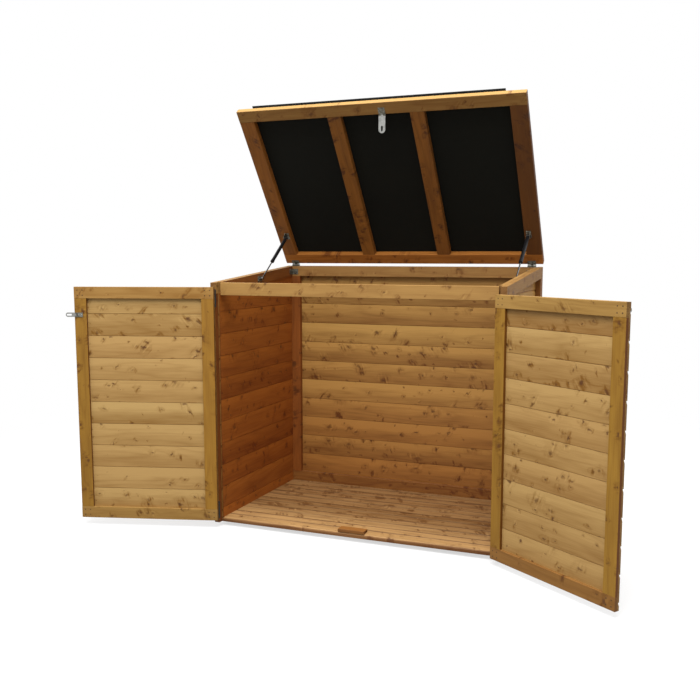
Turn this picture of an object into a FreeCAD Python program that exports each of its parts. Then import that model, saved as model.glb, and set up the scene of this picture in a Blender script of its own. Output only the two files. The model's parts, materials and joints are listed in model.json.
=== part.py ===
import FreeCAD, Part
import Sketcher
import os
import re

# Garden storage box: timber carcass with a pent top, two front doors and a lid on gas struts.
# Millimetres and degrees, +X to the right, +Y to the back, +Z up.
# The origin lies on the ground under the middle of the carcass.
# Pieces are drawn from the front faces of the posts and then set back by half the depth.

document = FreeCAD.newDocument("garden_storage_box")
sizes = document.addObject("Spreadsheet::Sheet", "Sizes")

# Driving dimensions
DRIVING = [
    # carcass
    ("width", 1200),
    ("depth", 720),
    ("front_height", 1007),
    ("lid_fall", 60),
    # sawn stock
    ("stock_thick", 22),
    ("rail_wide", 45),
    ("stile_wide", 50),
    ("eased_edge", 1),
    # floor
    ("bearer_high", 16),
    ("bearer_inset", 70),
    ("floor_thick", 18),
    ("floor_board", 115),
    ("floor_joint", 1.6),
    ("floor_round", 2.5),
    ("stop_long", 110),
    ("stop_wide", 40),
    ("stop_high", 12),
    # shiplap boards
    ("board_thick", 8),
    ("board_cover", 90.5),
    ("board_lap", 8),
    ("lap_clear", 0.3),
    ("lap_bevel", 1.6),
    ("cove_high", 12),
    ("door_first_lap", 26.5),
    ("wall_first_lap", 32.5),
    # front rail and cleats
    ("cleat_thick", 12),
    ("cleat_set_back", 12),
    ("front_rail_wide", 51),
    # doors
    ("door_frame_thick", 12),
    ("door_rail_wide", 47),
    ("door_top_down", 17),
    ("door_gap", 3),
    ("door_ground_gap", 32),
    ("right_door_sag", 10),
    ("stop_clear", 1),
    ("left_door_angle", 163),
    ("right_door_angle", 144.5),
    # T hinges of the doors
    ("hinge_radius", 4),
    ("hinge_pin", 2),
    ("pin_clear", 0.1),
    ("knuckle_clear", 0.4),
    ("leaf_thick", 2),
    ("plate_high", 70),
    ("plate_wide", 18),
    ("strap_tip", 9),
    ("strap_long", 240),
    ("upper_hinge_down", 45),
    ("lower_hinge_up", 41),
    # lid
    ("lid_over_front", 82),
    ("lid_over_side", 3),
    ("lid_thick", 25),
    ("lid_rail_wide", 50),
    ("lid_side_wide", 66),
    ("lid_middle_wide", 58),
    ("lid_middle_at", 175),
    ("lid_gap", 9),
    ("lid_front_gap", 2),
    ("lid_angle", 58.1),
    ("deck_thick", 9),
    ("deck_inset", 6),
    ("felt_thick", 3),
    ("felt_left_margin", 62),
    ("felt_right_margin", 82),
    ("felt_front_over", 4),
    ("felt_back_over", 18),
    # lid hinges
    ("lid_hinge_inset", 45),
    ("lid_hinge_long", 36),
    ("lid_leaf_wide", 24),
    ("wall_leaf_wide", 16),
    ("lid_axis_inset", 12),
    ("lid_back_gap", 6),
    # gas struts
    ("strut_inset", 11),
    ("strut_arm", 162),
    ("strut_drop", 14),
    ("strut_foot_back", 360),
    ("strut_foot_down", 23),
    ("tube_radius", 7.5),
    ("tube_head", 16),
    ("tube_end", 180),
    ("tube_bore_long", 158),
    ("collar_radius", 8.4),
    ("collar_long", 9),
    ("neck_radius", 4.5),
    ("eye_radius", 7),
    ("eye_wide", 12),
    ("rod_radius", 3),
    ("rod_clear", 0.3),
    ("rod_engaged", 32),
    ("strut_pin", 3),
    ("strut_end_clear", 1),
    ("lug_thick", 2),
    ("lug_long", 32),
    ("lug_margin", 6),
    ("lug_foot", 22),
    ("foot_plate_long", 38),
    ("foot_plate_high", 24),
    ("foot_stud", 5),
    ("open_pivot_gap", 0.4),
    # hasp of the lid and its staple
    ("hasp_at", 33),
    ("hasp_wide", 28),
    ("hasp_leaf_long", 32),
    ("hasp_strap_long", 69),
    ("hasp_thick", 1.6),
    ("hasp_radius", 3),
    ("hasp_pin", 1.5),
    ("hasp_slot_long", 22),
    ("hasp_slot_wide", 7),
    ("hasp_slot_down", 51),
    ("staple_bar", 4),
    ("staple_gap", 8),
    ("staple_plate_wide", 26),
    ("staple_plate_high", 44),
    ("staple_past", 14),
    # catch of the left door
    ("catch_down", 113),
    ("catch_high", 18),
    ("catch_strap_long", 43),
    ("catch_slot_back", 18),
    ("catch_leaf_long", 28),
    ("catch_inset", 7),
    ("catch_lift", 0.7),
    # corner plates
    ("corner_leg", 30),
    ("corner_high", 25),
    ("corner_thick", 2),
    ("corner_down", 10),
]

# Sizes worked out from the driving ones
DERIVED = [
    ("rise", "lid_fall / depth"),
    ("pitch", "atan(rise) / 1 deg"),
    ("back_height", "front_height + lid_fall"),
    ("half", "width / 2"),
    ("post_inner", "half - stock_thick"),
    ("board_inner", "post_inner - board_thick"),
    ("cleat_inner", "post_inner - cleat_thick"),
    ("floor_top", "bearer_high + floor_thick"),
    ("door_thick", "door_frame_thick + board_thick"),
    ("stop_line", "door_thick + stop_clear"),
    ("floor_long", "depth - stop_line"),
    ("floor_count", "round(floor_long / floor_board)"),
    ("floor_step", "(floor_long + floor_joint) / floor_count"),
    ("back_frame_front", "depth - board_thick - stock_thick"),
    ("hinge_at", "post_inner - door_gap / 2"),
    ("door_wide", "hinge_at - door_gap"),
    ("door_bottom", "door_ground_gap"),
    ("door_top", "front_height - door_top_down"),
    ("door_high", "door_top - door_bottom"),
    ("half_lap", "board_thick / 2"),
    ("lid_axis_y", "depth - lid_axis_inset"),
    ("lid_axis_up", "lid_gap / 2"),
    ("lid_axis_z", "back_height - lid_axis_inset * rise + lid_axis_up / cos(pitch)"),
    ("lid_under", "lid_gap - lid_axis_up"),
    ("lid_wide", "width + 2 * lid_over_side"),
    ("lid_long", "lid_axis_y - lid_back_gap + lid_over_front"),
    ("lid_front", "-(lid_back_gap + lid_long)"),
    ("lid_tilt", "pitch - lid_angle"),
    ("lid_shut", "pitch + atan((lid_gap - lid_front_gap) / lid_axis_y) / 1 deg"),
    ("lid_hinge_at", "half - lid_hinge_inset"),
    ("strut_at", "cleat_inner - strut_inset"),
    ("strut_lug_z", "lid_under - strut_drop"),
    ("strut_head_y", "lid_axis_y - strut_arm * cos(lid_tilt) - strut_lug_z * sin(lid_tilt)"),
    ("strut_head_z", "lid_axis_z - strut_arm * sin(lid_tilt) + strut_lug_z * cos(lid_tilt)"),
    ("strut_foot_z", "front_height + strut_foot_back * rise - strut_foot_down"),
    ("strut_rise", "strut_head_z - strut_foot_z"),
    ("strut_run", "strut_head_y - strut_foot_back"),
    ("strut_length", "sqrt(strut_rise * strut_rise + strut_run * strut_run)"),
    ("strut_lean", "-atan(strut_run / strut_rise) / 1 deg"),
    ("hasp_y", "lid_front + lid_rail_wide + hasp_radius + knuckle_clear"),
    ("hasp_z", "lid_under - hasp_radius"),
    ("hasp_rest_y", "lid_axis_y + hasp_y * cos(lid_tilt) - hasp_z * sin(lid_tilt)"),
    ("hasp_rest_z", "lid_axis_z + hasp_y * sin(lid_tilt) + hasp_z * cos(lid_tilt)"),
    ("hasp_shut_y", "lid_axis_y + hasp_y * cos(lid_shut) - hasp_z * sin(lid_shut)"),
    ("hasp_shut_z", "lid_axis_z + hasp_y * sin(lid_shut) + hasp_z * cos(lid_shut)"),
    ("staple_x", "hasp_at - hinge_at"),
    ("staple_z", "hasp_shut_z - hasp_slot_down + right_door_sag"),
    ("staple_out", "staple_gap / 2 + staple_bar"),
    ("staple_bend_y", "hasp_shut_y - staple_past + staple_out"),
    ("catch_at", "door_gap / 2 + door_wide - catch_inset"),
    ("catch_y", "hinge_radius + door_thick + hasp_radius + catch_lift"),
    ("catch_z", "door_top - catch_down"),
]

NAMES = [name for name, value in DRIVING + DERIVED]


def bind(text):
    """Point every size name in an expression at its cell of the sheet."""
    def cell(word):
        return "Sizes." + word.group() if word.group() in NAMES else word.group()
    return re.sub(r"[a-z][a-z_]+", cell, text)


for row, (name, value) in enumerate(DRIVING + DERIVED, start=1):
    sizes.set("A%d" % row, name)
    sizes.set("B%d" % row, "=" + value if isinstance(value, str) else str(value))
    sizes.setAlias("B%d" % row, name)
document.recompute()


def value_of(text):
    """Number that a size expression has now."""
    return float(sizes.evalExpression(bind(text)))


def shift(x, y, z, axis="0; 0; 1", turn="0"):
    """Placement as text: a shift, then a turn about an axis."""
    return f"placement(vector({x}; {y}; {z}); rotation(vector({axis}); {turn}))"


# Frames: the carcass stands still, the doors and the lid are drawn shut and turned open
STILL = shift("0", "-depth / 2", "0") + " * "
LEFT_DOOR = STILL + shift("-hinge_at", "-hinge_radius", "0", turn="-left_door_angle") + " * "
RIGHT_DOOR = STILL + shift("hinge_at", "-hinge_radius", "-right_door_sag", turn="right_door_angle") + " * "
LID = STILL + shift("0", "lid_axis_y", "lid_axis_z", "1; 0; 0", "lid_tilt") + " * "
LID_SEAT = STILL + shift("0", "lid_axis_y", "lid_axis_z", "1; 0; 0", "pitch") + " * "
STRUT_FOOT = STILL + shift("0", "strut_foot_back", "strut_foot_z", "1; 0; 0", "pitch") + " * "
STRUT = STILL + shift("0", "strut_head_y", "strut_head_z", "1; 0; 0", "strut_lean") + " * "

finished = []


def keep(piece, label, frame=None, place=("0", "0", "0")):
    """Name a finished sub-part and put it in its frame."""
    piece.Label = label
    finished.append(piece)
    if frame:
        stand(piece, frame, place)


def stand(piece, frame, place):
    piece.setExpression("Placement", bind(frame + shift(*place)))


def new_body(name):
    return document.addObject("PartDesign::Body", name)


# Sketches
def sketch_on(body, plane, lift):
    """Empty sketch on one of the body's own planes, lifted along the plane's normal."""
    sketch = body.newObject("Sketcher::SketchObject", body.Name + "_sketch")
    support = [item for item in body.Origin.OriginFeatures if item.Role == plane][0]
    sketch.AttachmentSupport = [(support, "")]
    sketch.MapMode = "FlatFace"
    sketch.setExpression("AttachmentOffset.Base.z", bind(lift))
    return sketch


def drive(sketch, kind, place, text):
    """Dimension bound to a size expression."""
    number = sketch.addConstraint(Sketcher.Constraint(kind, *place, value_of(text)))
    sketch.setExpression("Constraints[%d]" % number, bind(text))


def outline(body, plane, points, lift="0"):
    """Closed outline whose corners are pairs of size expressions."""
    sketch = sketch_on(body, plane, lift)
    corners = [FreeCAD.Vector(value_of(u), value_of(v), 0) for u, v in points]
    count = len(corners)
    for index in range(count):
        sketch.addGeometry(Part.LineSegment(corners[index], corners[(index + 1) % count]))
    for index in range(count):
        sketch.addConstraint(Sketcher.Constraint("Coincident", index, 2, (index + 1) % count, 1))
    for index, (u, v) in enumerate(points):
        drive(sketch, "DistanceX", (-1, 1, index, 1), u)
        drive(sketch, "DistanceY", (-1, 1, index, 1), v)
    return sketch


def rounds(body, plane, centre, radii, lift="0"):
    """Circles about one centre."""
    sketch = sketch_on(body, plane, lift)
    u, v = centre
    middle = FreeCAD.Vector(value_of(u), value_of(v), 0)
    for index, radius in enumerate(radii):
        sketch.addGeometry(Part.Circle(middle, FreeCAD.Vector(0, 0, 1), value_of(radius)))
        drive(sketch, "DistanceX", (-1, 1, index, 3), u)
        drive(sketch, "DistanceY", (-1, 1, index, 3), v)
        drive(sketch, "Radius", (index,), radius)
    return sketch


def rectangle(u, v, wide, high):
    """Corners of a rectangle with its low corner at u, v."""
    right = f"{u} + {wide}"
    top = f"{v} + {high}"
    return [(u, v), (right, v), (right, top), (u, top)]


def flipped(points, sign):
    """The same outline on the other side of the middle line."""
    return [(f"{sign} * ({u})", v) for u, v in points]


# Features
def pad(body, sketch, length, reverse=False):
    feature = body.newObject("PartDesign::Pad", body.Name + "_pad")
    feature.Profile = sketch
    feature.setExpression("Length", bind(length))
    feature.Reversed = reverse
    return feature


def pocket(body, sketch, length, reverse=True):
    """Cut along the plane's normal, or against it."""
    feature = body.newObject("PartDesign::Pocket", body.Name + "_pocket")
    feature.Profile = sketch
    feature.setExpression("Length", bind(length))
    feature.Reversed = reverse


def repeat(body, feature, direction, length, count):
    """Row of copies along one axis of the feature's own sketch."""
    row = body.newObject("PartDesign::LinearPattern", body.Name + "_row")
    row.Originals = [feature]
    row.Direction = (feature.Profile[0], [direction])
    row.setExpression("Length", bind(length))
    row.setExpression("Occurrences", bind(count))
    body.Tip = row


# Plane across each run of stock, and the direction of the run
ACROSS = {"x": "YZ_Plane", "y": "XZ_Plane", "z": "XY_Plane"}
RUN = {"x": FreeCAD.Vector(1, 0, 0), "y": FreeCAD.Vector(0, 1, 0), "z": FreeCAD.Vector(0, 0, 1)}


def prism(name, run, points, length):
    """Outline across a run, carried along it from zero."""
    body = new_body(name)
    feature = pad(body, outline(body, ACROSS[run], points), length, reverse=run == "y")
    return body, feature


def batten(label, run, length, section, place, frame=STILL):
    """Sawn batten with eased long arrises; section gives its sizes along the two other axes."""
    body, feature = prism(label, run, rectangle("0", "0", *section), length)
    document.recompute()
    long_edges = []
    for number, edge in enumerate(feature.Shape.Edges, start=1):
        along = edge.tangentAt(edge.FirstParameter).dot(RUN[run])
        if abs(abs(along) - 1) < 1e-6:
            long_edges.append("Edge%d" % number)
    eased = body.newObject("PartDesign::Chamfer", label + "_eased")
    eased.Base = (feature, long_edges)
    eased.setExpression("Size", bind("eased_edge"))
    keep(body, label, frame, place)


# Shiplap: a cove above the face of each board, a rebate below it, one lapping the next
def shiplap(label, run, length, outward, bottom, first_lap, high, trim, frame, place):
    """Courses of lapped boards cut to a trimming body; outward is the sign of the weather side."""
    tongue = "half_lap - lap_clear"
    tongue_top = "board_cover + board_lap - lap_clear"
    profile = [
        ("board_thick", "0"),
        ("board_thick", "board_cover - cove_high"),
        (tongue, "board_cover - lap_bevel"),
        (tongue, tongue_top),
        ("0", tongue_top),
        ("0", "board_lap + lap_bevel"),
        ("lap_bevel", "board_lap"),
        ("half_lap", "board_lap"),
        ("half_lap", "0"),
    ]
    body, board = prism(label + "_courses", run, flipped(profile, outward), length)
    courses = f"(ceil(({high} - {first_lap}) / board_cover) + 1)"
    repeat(body, board, "V_Axis", f"board_cover * ({courses} - 1)", courses)
    x, y = place
    stand(body, frame, (x, y, f"{bottom} + {first_lap} - board_cover"))
    stand(trim, frame, (x, y, "0"))
    boards = document.addObject("Part::Common", label)
    boards.Base = body
    boards.Tool = trim
    keep(boards, label)


# Floor
def floor():
    bearers = new_body("floor_bearers")
    section = outline(bearers, "XZ_Plane", rectangle("0", "0", "rail_wide", "bearer_high"))
    bearer = pad(bearers, section, "depth - 2 * bearer_inset", reverse=True)
    repeat(bearers, bearer, "H_Axis", "width - 2 * bearer_inset - rail_wide", "3")
    keep(bearers, "floor_bearers", STILL, ("-half + bearer_inset", "bearer_inset", "0"))

    boards = new_body("floor_boards")
    far, shoulder = "floor_step - floor_joint", "floor_thick - floor_round"
    eased = [("0", "0"), (far, "0"), (far, shoulder), (f"{far} - floor_round", "floor_thick"),
             ("floor_round", "floor_thick"), ("0", shoulder)]
    board = pad(boards, outline(boards, "YZ_Plane", eased), "2 * post_inner")
    repeat(boards, board, "H_Axis", "floor_long + floor_joint - floor_step", "floor_count")
    keep(boards, "floor_boards", STILL, ("-post_inner", "stop_line", "bearer_high"))

    batten("door_stop_block", "x", "stop_long", ("stop_wide", "stop_high"),
           ("-stop_long / 2", "stop_line", "floor_top"))


# Side walls: frame outside, boards and cleat inside
def side_wall(side, sign):
    def slope(y, drop):
        """Height at a depth, measured down from the pent slope."""
        return f"front_height + ({y}) * rise - {drop}"

    def layer(label, near, thick, front, back, foot, drop):
        """Upright piece between two depths; its top, and its foot if none is given, follow the slope."""
        low = [foot or slope(front, "rail_wide"), foot or slope(back, "rail_wide")]
        points = [(front, low[0]), (back, low[1]), (back, slope(back, drop)), (front, slope(front, drop))]
        body, feature = prism(label, "x", points, thick)
        keep(body, label, STILL, (near if sign > 0 else f"-({near}) - {thick}", "0", "0"))

    post = ("post_inner", "stock_thick")
    layer(f"{side}_front_post", *post, "0", "rail_wide", "bearer_high", "rail_wide")
    layer(f"{side}_rear_post", *post, "depth - rail_wide", "depth", "bearer_high", "rail_wide")
    layer(f"{side}_top_rail", *post, "0", "depth", None, "0")
    layer(f"{side}_cleat", "cleat_inner", "cleat_thick", "stop_line + cleat_set_back", "back_frame_front",
          None, "0")
    batten(f"{side}_bottom_rail", "y", "depth - 2 * rail_wide", ("stock_thick", "rail_wide"),
           ("post_inner" if sign > 0 else "-half", "rail_wide", "bearer_high"))

    area = [("stop_line", "floor_top"), ("back_frame_front", "floor_top"),
            ("back_frame_front", slope("back_frame_front", "rail_wide")),
            ("stop_line", slope("stop_line", "rail_wide"))]
    trim = new_body(f"{side}_wall_trim")
    pad(trim, outline(trim, "YZ_Plane", area), "board_thick", reverse=sign < 0)
    shiplap(f"{side}_wall_boards", "y", "depth", sign, "floor_top", "wall_first_lap",
            "back_height - floor_top", trim, STILL, (f"{sign} * board_inner", "0"))


# Back wall: frame inside, boards outside
def back_wall():
    wide = "2 * post_inner"
    rail_low = "back_height - rail_wide - (depth - back_frame_front) * rise"
    batten("back_bottom_rail", "x", wide, ("stock_thick", "rail_wide"),
           ("-post_inner", "back_frame_front", "floor_top"))
    for side, x in (("left", "-post_inner"), ("right", "post_inner - stile_wide")):
        batten(f"back_{side}_post", "z", f"{rail_low} - floor_top - rail_wide", ("stile_wide", "stock_thick"),
               (x, "back_frame_front", "floor_top + rail_wide"))
    section = [("0", "0"), ("stock_thick", "0"),
               ("stock_thick", "rail_wide + stock_thick * rise"), ("0", "rail_wide")]
    rail, feature = prism("back_top_rail", "x", section, wide)
    keep(rail, "back_top_rail", STILL, ("-post_inner", "back_frame_front", rail_low))

    high = "back_height - board_thick * rise - floor_top"
    trim, feature = prism("back_wall_trim", "x", rectangle("0", "floor_top", "board_thick", high), wide)
    shiplap("back_wall_boards", "x", wide, 1, "floor_top", "wall_first_lap", high, trim, STILL,
            ("-post_inner", "depth - board_thick"))


def front_rail_and_corners():
    batten("front_top_rail", "x", "2 * cleat_inner", ("stock_thick", "front_rail_wide"),
           ("-cleat_inner", "stop_line", "front_height - front_rail_wide"))
    inner = "cleat_inner - corner_thick"
    far = "cleat_inner - corner_leg"
    angle = [("cleat_inner", "0"), ("cleat_inner", "-corner_leg"), (inner, "-corner_leg"),
             (inner, "-corner_thick"), (far, "-corner_thick"), (far, "0")]
    corners = new_body("corner_plates")
    for sign in (-1, 1):
        pad(corners, outline(corners, "XY_Plane", flipped(angle, sign)), "corner_high")
    top = "back_height - (depth - back_frame_front + corner_leg) * rise - corner_down"
    keep(corners, "corner_plates", STILL, ("0", "back_frame_front", f"{top} - corner_high"))


# Hinge knuckles: the outer two hold the pin, the middle one turns on it
def outer_knuckles(body, plane, start, long, radius, pin, centre=("0", "0")):
    third = f"({long}) / 3"
    for begin in (start, f"{start} + 2 * {third} + knuckle_clear"):
        pad(body, rounds(body, plane, centre, [radius], begin), f"{third} - knuckle_clear")
    pad(body, rounds(body, plane, centre, [pin], start), long)


def middle_knuckle(body, plane, start, long, radius, pin, centre=("0", "0")):
    third = f"({long}) / 3"
    pad(body, rounds(body, plane, centre, [radius], f"{start} + {third}"), third)
    pocket(body, rounds(body, plane, centre, [f"{pin} + pin_clear"], start), long)


def notched_leaf(start, long, root, far):
    """Leaf outline from the hinge line out, with room for the other half's middle knuckle."""
    third = f"({long}) / 3"
    low = f"{start} + {third} - knuckle_clear"
    high = f"{start} + 2 * {third} + knuckle_clear"
    end = f"{start} + {long}"
    return [("0", start), (far, start), (far, end), ("0", end),
            ("0", high), (root, high), (root, low), ("0", low)]


# Doors
def door(side, sign, frame):
    """Framed door drawn shut from its hinge line; sign points from the hinge to the free edge."""
    def low(near, wide):
        return near if sign > 0 else f"-({near}) - ({wide})"

    edge = "door_gap / 2"
    frame_y = "hinge_radius + board_thick"
    full_x = low(edge, "door_wide")
    for label, z in (("top_rail", "door_top - door_rail_wide"), ("bottom_rail", "door_bottom")):
        batten(f"{side}_door_{label}", "x", "door_wide", ("door_frame_thick", "door_rail_wide"),
               (full_x, frame_y, z), frame)
    for label, near in (("hinge_stile", edge), ("free_stile", f"{edge} + door_wide - stile_wide")):
        batten(f"{side}_door_{label}", "z", "door_high - 2 * door_rail_wide",
               ("stile_wide", "door_frame_thick"),
               (low(near, "stile_wide"), frame_y, "door_bottom + door_rail_wide"), frame)
    area = rectangle("-board_thick", "door_bottom", "board_thick", "door_high")
    trim, feature = prism(f"{side}_door_trim", "x", area, "door_wide")
    shiplap(f"{side}_door_boards", "x", "door_wide", -1, "door_bottom", "door_first_lap", "door_high",
            trim, frame, (full_x, frame_y))
    door_hinges(side, sign, frame)


def door_hinges(side, sign, frame):
    """T hinges: tapered straps on the door, plates on the post."""
    straps = new_body(f"{side}_door_straps")
    plates = new_body(f"{side}_door_hinge_plates")
    root = "hinge_radius + knuckle_clear"
    tip = "strap_long - strap_tip"
    face = "-hinge_radius"
    for level in ("door_bottom + lower_hinge_up", "door_top - upper_hinge_down"):
        start = f"{level} - plate_high / 2"
        low = f"{start} + plate_high / 3"
        high = f"{start} + 2 * plate_high / 3"
        taper = [("0", low), (root, low), (tip, f"{level} - strap_tip"),
                 (tip, f"{level} + strap_tip"), (root, high), ("0", high)]
        pad(straps, outline(straps, "XZ_Plane", flipped(taper, sign), face), "leaf_thick")
        end = rounds(straps, "XZ_Plane", (f"{sign} * ({tip})", level), ["strap_tip"], face)
        pad(straps, end, "leaf_thick")
        middle_knuckle(straps, "XY_Plane", start, "plate_high", "hinge_radius", "hinge_pin")

        leaf = notched_leaf(start, "plate_high", root, "hinge_radius + plate_wide")
        pad(plates, outline(plates, "XZ_Plane", flipped(leaf, -sign), face), "leaf_thick")
        outer_knuckles(plates, "XY_Plane", start, "plate_high", "hinge_radius", "hinge_pin")
    keep(straps, f"{side}_door_straps", frame)
    sunk = "0" if side == "left" else "-right_door_sag"
    keep(plates, f"{side}_door_hinge_plates", STILL, (f"{-sign} * hinge_at", "-hinge_radius", sunk))


# Flat hasp strap with a rounded end and a slot
def slotted_strap(body, reach, half_wide, long, slot_middle, lift, reverse):
    """Reach turns a distance along the strap and a side offset into the sketch's own pair."""
    def span(near, far, side):
        return [reach(near, f"-({side})"), reach(near, side), reach(far, side), reach(far, f"-({side})")]

    end = f"{long} - {half_wide}"
    pad(body, outline(body, "XZ_Plane", span("0", end, half_wide), lift), "hasp_thick", reverse)
    pad(body, rounds(body, "XZ_Plane", reach(end, "0"), [half_wide], lift), "hasp_thick", reverse)
    slot_half = "hasp_slot_wide / 2"
    ends = [f"{slot_middle} {sign} (hasp_slot_long - hasp_slot_wide) / 2" for sign in "-+"]
    pocket(body, outline(body, "XZ_Plane", span(*ends, slot_half), lift), "hasp_thick", not reverse)
    for end in ends:
        pocket(body, rounds(body, "XZ_Plane", reach(end, "0"), [slot_half], lift), "hasp_thick", not reverse)


# Catch on the inside of the left door: its strap reaches behind the right door
def left_catch():
    start = "catch_z - catch_high / 2"
    root = "hasp_radius + knuckle_clear"
    place = ("catch_at", "catch_y", "0")
    leaf = new_body("left_door_catch_leaf")
    shape = flipped(notched_leaf(start, "catch_high", root, "catch_leaf_long"), -1)
    flat = outline(leaf, "XZ_Plane", shape, "hasp_radius + catch_lift")
    pad(leaf, flat, "hasp_thick + catch_lift", reverse=True)
    outer_knuckles(leaf, "XY_Plane", start, "catch_high", "hasp_radius", "hasp_pin")
    keep(leaf, "left_door_catch_leaf", LEFT_DOOR, place)

    strap = new_body("left_door_catch_strap")
    neck = rectangle("0", f"{start} + catch_high / 3", root, "catch_high / 3")
    pad(strap, outline(strap, "XZ_Plane", neck, "hasp_radius"), "hasp_thick", reverse=True)
    middle_knuckle(strap, "XY_Plane", start, "catch_high", "hasp_radius", "hasp_pin")
    slotted_strap(strap, lambda along, off: (f"{root} + {along}", f"catch_z + ({off})"), "catch_high / 2",
                  f"catch_strap_long - ({root})", "catch_strap_long - catch_slot_back", "hasp_radius", True)
    keep(strap, "left_door_catch_strap", LEFT_DOOR, place)


# Staple on the outside of the right door, where the lid's hasp comes down over it
def right_staple():
    staple = new_body("right_door_staple")
    plate = rectangle("staple_x - staple_plate_wide / 2", "staple_z - staple_plate_high / 2",
                      "staple_plate_wide", "staple_plate_high")
    pad(staple, outline(staple, "XZ_Plane", plate, "-hinge_radius"), "leaf_thick")
    lift = "staple_x - staple_bar / 2"
    face = "hinge_radius - leaf_thick"
    bend = "staple_bend_y + hinge_radius"
    legs = rectangle(bend, "staple_z - staple_out", f"{face} - ({bend})", "2 * staple_out")
    pad(staple, outline(staple, "YZ_Plane", legs, lift), "staple_bar")
    pad(staple, rounds(staple, "YZ_Plane", (bend, "staple_z"), ["staple_out"], lift), "staple_bar")
    gap = rectangle(bend, "staple_z - staple_gap / 2", f"{face} - ({bend})", "staple_gap")
    pocket(staple, outline(staple, "YZ_Plane", gap, lift), "staple_bar")
    pocket(staple, rounds(staple, "YZ_Plane", (bend, "staple_z"), ["staple_gap / 2"], lift), "staple_bar")
    keep(staple, "right_door_staple", RIGHT_DOOR)


# Lid
def lid():
    left = "-lid_wide / 2"
    for label, y in (("front_rail", "lid_front"), ("rear_rail", "-lid_back_gap - lid_rail_wide")):
        batten(f"lid_{label}", "x", "lid_wide", ("lid_rail_wide", "lid_thick"), (left, y, "lid_under"), LID)
    ribs = (("left_side_rail", left, "lid_side_wide"),
            ("right_side_rail", "lid_wide / 2 - lid_side_wide", "lid_side_wide"),
            ("left_middle_rail", "-lid_middle_at - lid_middle_wide / 2", "lid_middle_wide"),
            ("right_middle_rail", "lid_middle_at - lid_middle_wide / 2", "lid_middle_wide"))
    for label, x, wide in ribs:
        batten(f"lid_{label}", "y", "lid_long - 2 * lid_rail_wide", (wide, "lid_thick"),
               (x, "lid_front + lid_rail_wide", "lid_under"), LID)

    area = rectangle(f"{left} + deck_inset", "lid_front + deck_inset",
                     "lid_wide - 2 * deck_inset", "lid_long - 2 * deck_inset")
    deck, feature = prism("lid_deck", "z", area, "deck_thick")
    keep(deck, "lid_deck", LID, ("0", "0", "lid_under + lid_thick"))
    area = rectangle(f"{left} + felt_left_margin", "lid_front - felt_front_over",
                     "lid_wide - felt_left_margin - felt_right_margin",
                     "lid_long + felt_front_over + felt_back_over")
    felt, feature = prism("lid_felt", "z", area, "felt_thick")
    keep(felt, "lid_felt", LID, ("0", "0", "lid_under + lid_thick + deck_thick"))


def turned(points):
    """Leaf outline drawn across, laid along the hinge line and towards the front."""
    return [(v, f"-({u})") for u, v in points]


def lid_hinges():
    lid_leaves = new_body("lid_hinge_lid_leaves")
    wall_leaves = new_body("lid_hinge_wall_leaves")
    root = "hinge_radius + knuckle_clear"
    long = "lid_hinge_long"
    for centre in ("-lid_hinge_at", "lid_hinge_at"):
        start = f"{centre} - {long} / 2"
        low = f"{start} + {long} / 3"
        plate = turned(rectangle(root, start, f"lid_leaf_wide - ({root})", long))
        neck = turned(rectangle("0", low, root, f"{long} / 3"))
        for shape in (plate, neck):
            pad(lid_leaves, outline(lid_leaves, "XY_Plane", shape, "lid_under - leaf_thick"), "leaf_thick")
        middle_knuckle(lid_leaves, "YZ_Plane", start, long, "hinge_radius", "hinge_pin")

        leaf = turned(notched_leaf(start, long, root, "wall_leaf_wide"))
        pad(wall_leaves, outline(wall_leaves, "XY_Plane", leaf, "-lid_axis_up"), "leaf_thick")
        outer_knuckles(wall_leaves, "YZ_Plane", start, long, "hinge_radius", "hinge_pin")
    keep(lid_leaves, "lid_hinge_lid_leaves", LID)
    keep(wall_leaves, "lid_hinge_wall_leaves", LID_SEAT)


def lid_hasp():
    start = "hasp_at - hasp_wide / 2"
    root = "hasp_radius + knuckle_clear"
    lift = "hasp_radius - hasp_thick"
    leaf = new_body("lid_hasp_leaf")
    shape = turned(notched_leaf(start, "hasp_wide", root, "hasp_leaf_long"))
    pad(leaf, outline(leaf, "XY_Plane", shape, lift), "hasp_thick")
    outer_knuckles(leaf, "YZ_Plane", start, "hasp_wide", "hasp_radius", "hasp_pin")
    keep(leaf, "lid_hasp_leaf", LID, ("0", "hasp_y", "hasp_z"))

    strap = new_body("lid_hasp_strap")
    neck = turned(rectangle("0", f"{start} + hasp_wide / 3", root, "hasp_wide / 3"))
    pad(strap, outline(strap, "XZ_Plane", neck, lift), "hasp_thick")
    middle_knuckle(strap, "YZ_Plane", start, "hasp_wide", "hasp_radius", "hasp_pin")
    slotted_strap(strap, lambda along, off: (f"hasp_at + ({off})", f"-({root}) - ({along})"), "hasp_wide / 2",
                  f"hasp_strap_long - ({root})", f"hasp_slot_down - ({root})", lift, False)
    keep(strap, "lid_hasp_strap", STILL, ("0", "hasp_rest_y", "hasp_rest_z"))


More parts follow.
